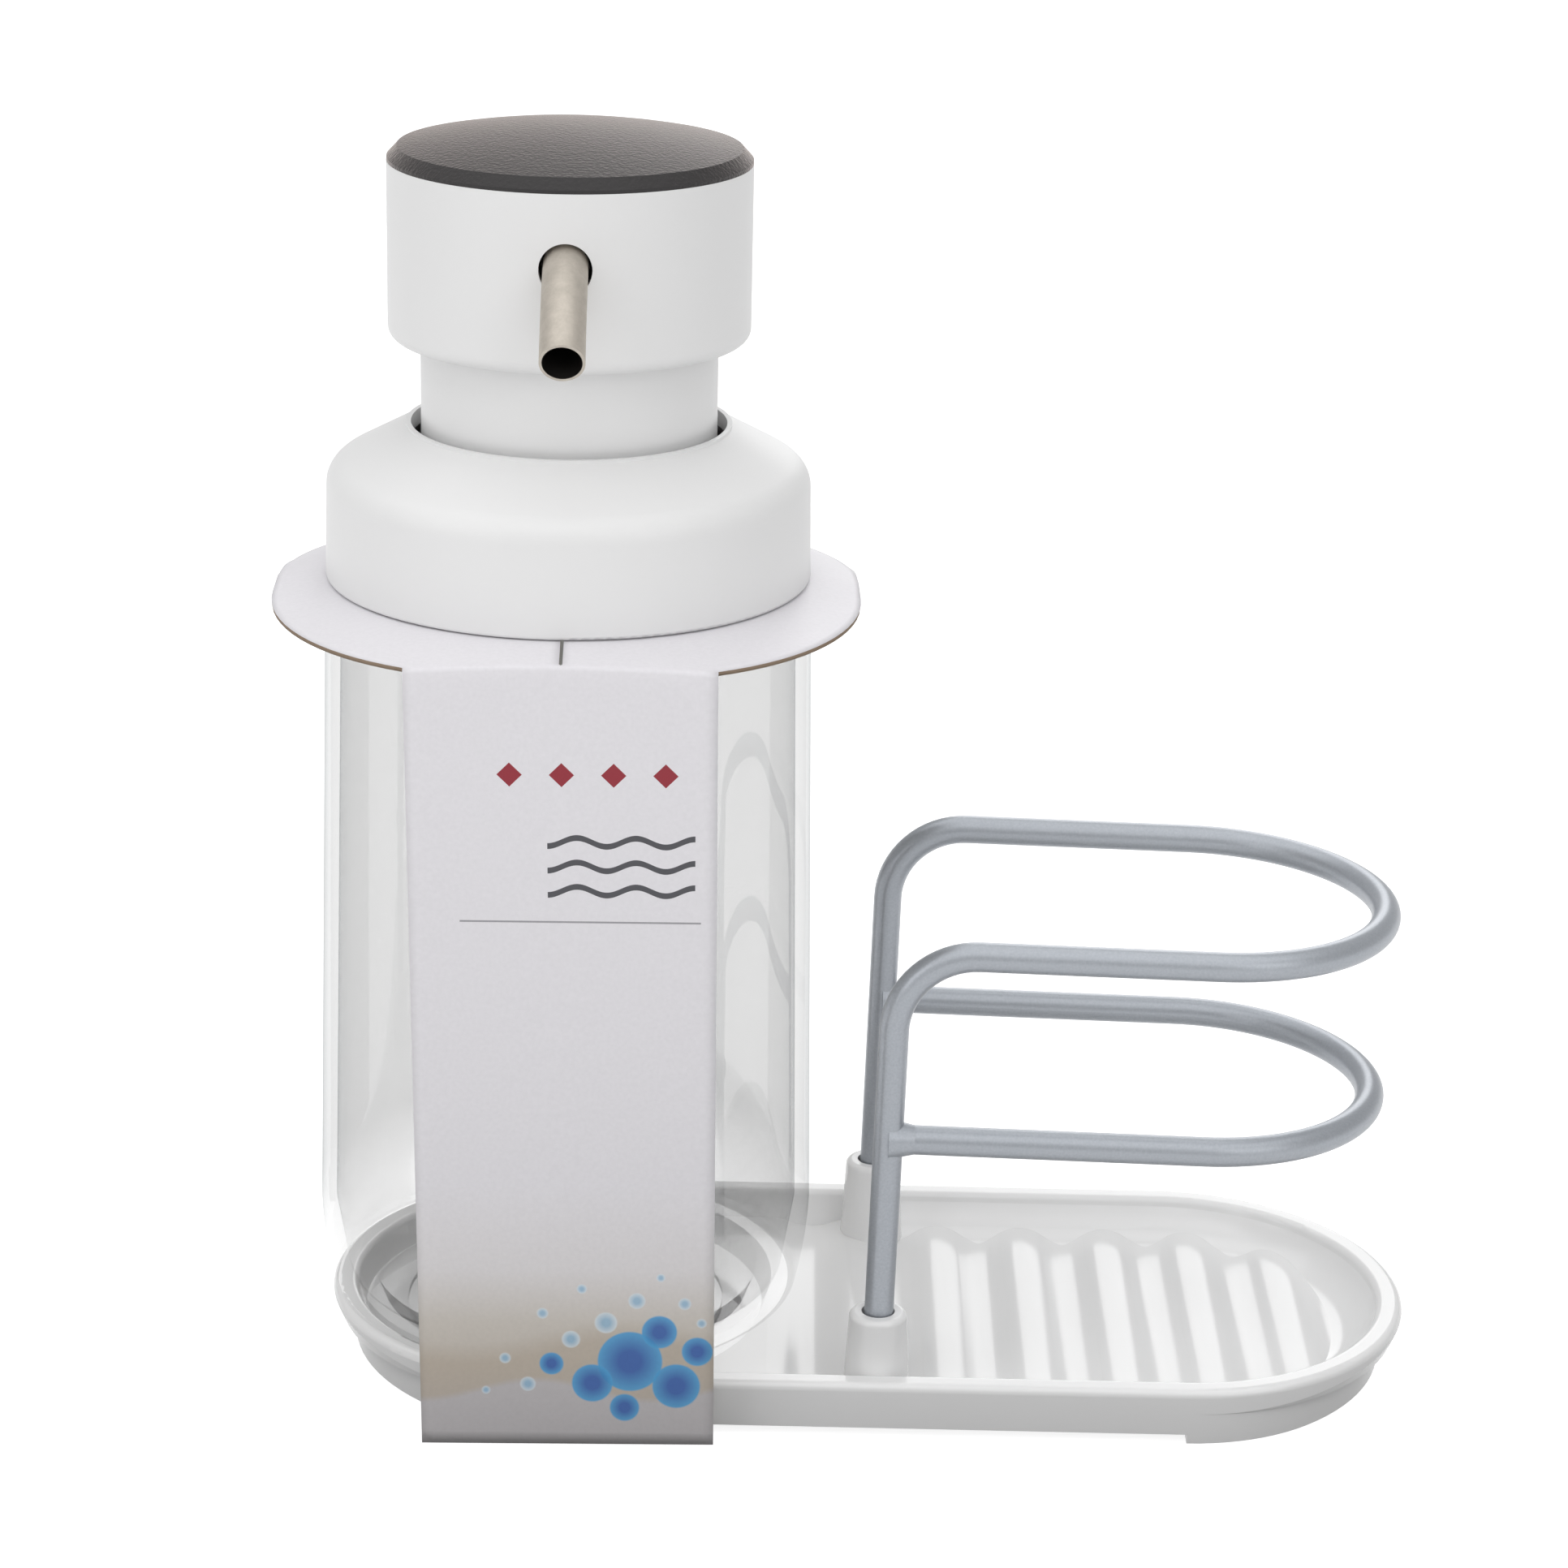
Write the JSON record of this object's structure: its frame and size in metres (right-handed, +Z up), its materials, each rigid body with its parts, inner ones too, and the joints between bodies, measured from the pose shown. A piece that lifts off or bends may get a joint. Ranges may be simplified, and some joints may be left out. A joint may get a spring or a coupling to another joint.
{
  "type": "soap pump caddy",
  "caption": "Pump bottle for soap standing in the round end of a ribbed tray, with a two-hoop wire rack for a sponge and a paperboard card hung on the neck.",
  "frame": {"origin": "middle of the tray's footprint, on the surface it stands on", "axes": "+X along the tray from the bottle to the sponge rack, +Y away from the spout's side, +Z up"},
  "size_m": [0.1671, 0.0832, 0.1812],
  "materials": {
    "tray_white": "glossy moulded white",
    "rack_wire": "satin silver-grey coat on steel wire",
    "bottle_clear": "clear moulded plastic",
    "card_board": "coated paperboard with a plain printed design",
    "pump_white": "satin moulded white",
    "inner_white": "natural moulded plastic",
    "gasket_rubber": "soft grey",
    "inner_steel": "bright stainless",
    "pad_rubber": "matte dark grey",
    "spout_steel": "satin stainless"
  },
  "bodies": {
    "tray": {"tray": "tray_white"},
    "rack": {"upper_hoop": "rack_wire", "lower_hoop": "rack_wire"},
    "bottle": {"bottle": "bottle_clear", "display_card": "card_board"},
    "pump": {"pump_housing": "inner_white", "lock_cap": "inner_white", "neck_gasket": "gasket_rubber", "return_spring": "inner_steel", "inlet_ball": "inner_steel", "dip_tube": "inner_white"},
    "collar": {"collar": "pump_white", "closure_ring": "inner_white"},
    "plunger": {"piston": "inner_white", "piston_seal": "gasket_rubber"},
    "head": {"stem": "inner_white", "outlet_ball": "inner_steel", "actuator": "inner_white", "head_shell": "pump_white", "plunger_sleeve": "pump_white", "press_pad": "pad_rubber", "spout": "spout_steel"}
  },
  "joints": [
    {"name": "rack_lift", "type": "slide", "parent": "tray", "child": "rack", "axis": [0, 0, 1], "range_m": [0, 0.03]},
    {"name": "bottle_lift", "type": "slide", "parent": "tray", "child": "bottle", "axis": [0, 0, 1], "range_m": [0, 0.04]},
    {"name": "pump_lift", "type": "slide", "parent": "bottle", "child": "pump", "axis": [0, 0, 1], "range_m": [0, 0.0061]},
    {"name": "collar_turn", "type": "hinge", "parent": "pump", "child": "collar", "pos_m": [-0.04545, 0, 0.125], "axis": [0, 0, 1], "range_deg": [0, 540]},
    {"name": "head_press", "type": "slide", "parent": "pump", "child": "plunger", "axis": [0, 0, -1], "range_m": [0, 0.011], "stiffness_N_per_m": 900, "springref_m": -0.006, "deforming": ["return_spring"]},
    {"name": "head_turn", "type": "hinge", "parent": "plunger", "child": "head", "pos_m": [-0.04545, 0, 0.165], "axis": [0, 0, 1], "continuous": true}
  ],
  "couplings": [
    {"joint": "pump_lift", "follows": "collar_turn", "m_per_rad": 0.00063662}
  ]
}
